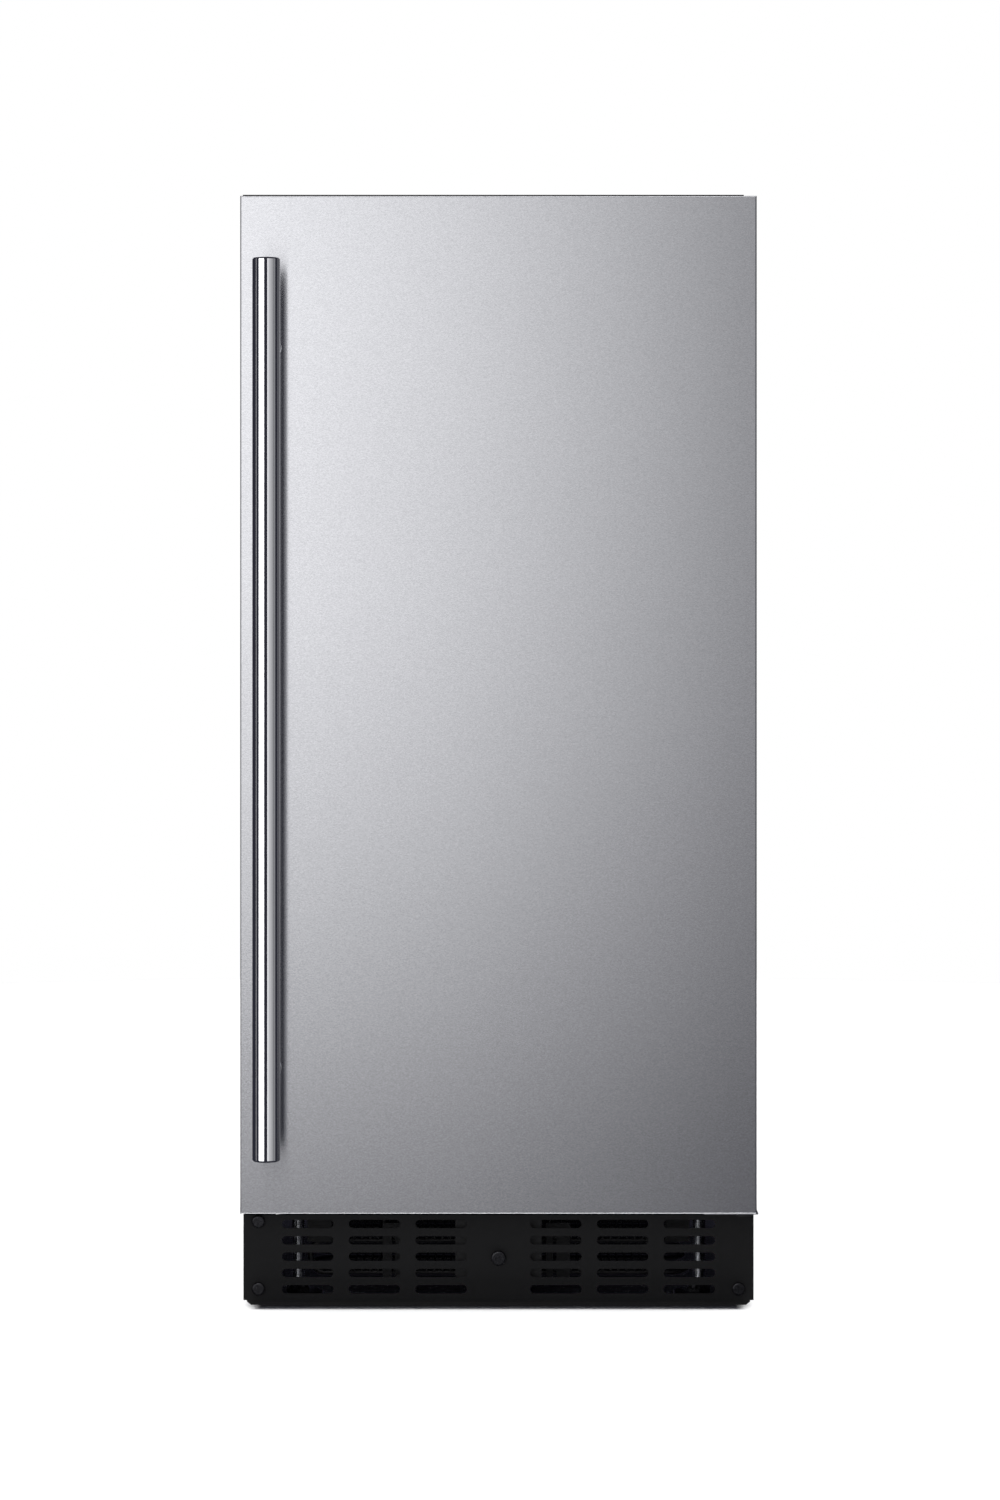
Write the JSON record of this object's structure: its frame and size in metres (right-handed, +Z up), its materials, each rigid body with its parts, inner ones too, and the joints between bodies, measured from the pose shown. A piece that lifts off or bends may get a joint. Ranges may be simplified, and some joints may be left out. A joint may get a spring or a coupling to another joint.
{
  "type": "undercounter refrigerator",
  "caption": "Narrow undercounter refrigerator with a right-hinged stainless door, long vertical bar handle and black louvred kick plate on levelling feet.",
  "frame": {"origin": "on the floor under the middle of the whole object's bounding box", "axes": "+Z up, -Y out of the door's face, +X to the right as seen from the front, towards the hinges"},
  "size_m": [0.3793, 0.652, 0.8188],
  "materials": {
    "stainless": "satin",
    "polished_steel": "polished",
    "black_steel": "satin",
    "kick_black": "matte",
    "galvanised": "satin",
    "zinc": "satin",
    "black_bolt": "satin",
    "white_liner": "satin",
    "black_plastic": "satin",
    "grey_plastic": "satin",
    "foam": "matte",
    "black_rubber": "matte",
    "gasket_rubber": "matte",
    "black_tube": "gloss",
    "copper": "satin",
    "aluminium": "satin",
    "compressor_black": "satin",
    "clear_plastic": "gloss",
    "glass": "gloss",
    "chrome_wire": "gloss",
    "lens": "gloss"
  },
  "bodies": {
    "cabinet": {"side_panel_left": "black_steel", "side_panel_right": "black_steel", "top_panel": "black_steel", "floor_pan": "galvanised", "rear_panel": "galvanised", "inner_liner": "white_liner", "foam_insulation": "foam", "base_brackets": "black_steel", "base_tray": "galvanised", "kick_plate": "kick_black", "panel_screws": "black_bolt", "kick_bolt": "black_bolt", "machine_cover": "galvanised", "rear_bumpers": "black_rubber", "cord_gland": "black_plastic", "condenser_tube": "black_tube", "condenser_wires": "black_tube", "condenser_hangers": "black_steel", "fan_shroud": "galvanised", "condenser_fan_motor": "galvanised", "compressor": "compressor_black", "compressor_mounts": "black_rubber", "compressor_terminal_cover": "black_plastic", "refrigerant_lines": "copper", "filter_drier": "copper", "drain_tube": "grey_plastic", "drain_tray": "black_plastic", "evaporator_cover": "white_liner", "evaporator_coil": "aluminium", "evaporator_fan_motor": "black_plastic", "hinge_brackets": "black_steel", "hinge_screws": "zinc", "control_housing": "white_liner", "lamp": "lens"},
    "door": {"door_skin": "stainless", "door_top_cap": "black_plastic", "door_bottom_cap": "black_plastic", "door_stop_plate": "zinc", "door_foam": "foam", "door_liner": "white_liner", "door_gasket": "gasket_rubber", "door_bin_lower": "clear_plastic", "door_bins_upper": "clear_plastic", "bin_rails": "chrome_wire", "handle_bar": "polished_steel", "handle_posts": "polished_steel"},
    "shelf_lower": {"shelf_lower_glass": "glass", "shelf_lower_trims": "grey_plastic"},
    "shelf_middle": {"shelf_middle_glass": "glass", "shelf_middle_trims": "grey_plastic"},
    "shelf_upper": {"shelf_upper_glass": "glass", "shelf_upper_trims": "grey_plastic"},
    "crisper": {"crisper_drawer": "clear_plastic"},
    "thermostat": {"thermostat_knob": "grey_plastic"},
    "condenser_fan": {"condenser_fan_blade": "black_plastic"},
    "evaporator_fan": {"evaporator_fan_blade": "black_plastic"},
    "leg_front_left_body": {"leg_front_left": "zinc"},
    "leg_front_right_body": {"leg_front_right": "zinc"},
    "leg_rear_left_body": {"leg_rear_left": "zinc"},
    "leg_rear_right_body": {"leg_rear_right": "zinc"}
  },
  "joints": [
    {"name": "door_hinge", "type": "hinge", "parent": "cabinet", "child": "door", "pos_m": [0.1795, -0.243, 0], "axis": [0, 0, 1], "range_deg": [0, 110]},
    {"name": "thermostat_turn", "type": "hinge", "parent": "cabinet", "child": "thermostat", "pos_m": [-0.044, -0.19, 0.761], "axis": [0, -1, 0], "range_deg": [0, 270]},
    {"name": "condenser_fan_spin", "type": "hinge", "parent": "cabinet", "child": "condenser_fan", "pos_m": [-0.095, 0.171, 0.118], "axis": [0, 1, 0], "continuous": true},
    {"name": "evaporator_fan_spin", "type": "hinge", "parent": "cabinet", "child": "evaporator_fan", "pos_m": [0, 0.245, 0.668], "axis": [0, 1, 0], "continuous": true},
    {"name": "shelf_lower_slide", "type": "slide", "parent": "cabinet", "child": "shelf_lower", "axis": [0, -1, 0], "range_m": [0, 0.03]},
    {"name": "shelf_middle_slide", "type": "slide", "parent": "cabinet", "child": "shelf_middle", "axis": [0, -1, 0], "range_m": [0, 0.03]},
    {"name": "shelf_upper_slide", "type": "slide", "parent": "cabinet", "child": "shelf_upper", "axis": [0, -1, 0], "range_m": [0, 0.03]},
    {"name": "crisper_slide", "type": "slide", "parent": "cabinet", "child": "crisper", "axis": [0, -1, 0], "range_m": [0, 0.025]},
    {"name": "leg_front_left_screw", "type": "slide", "parent": "cabinet", "child": "leg_front_left_body", "axis": [0, 0, 1], "range_m": [-0.015, 0]},
    {"name": "leg_front_right_screw", "type": "slide", "parent": "cabinet", "child": "leg_front_right_body", "axis": [0, 0, 1], "range_m": [-0.015, 0]},
    {"name": "leg_rear_left_screw", "type": "slide", "parent": "cabinet", "child": "leg_rear_left_body", "axis": [0, 0, 1], "range_m": [-0.015, 0]},
    {"name": "leg_rear_right_screw", "type": "slide", "parent": "cabinet", "child": "leg_rear_right_body", "axis": [0, 0, 1], "range_m": [-0.015, 0]}
  ]
}
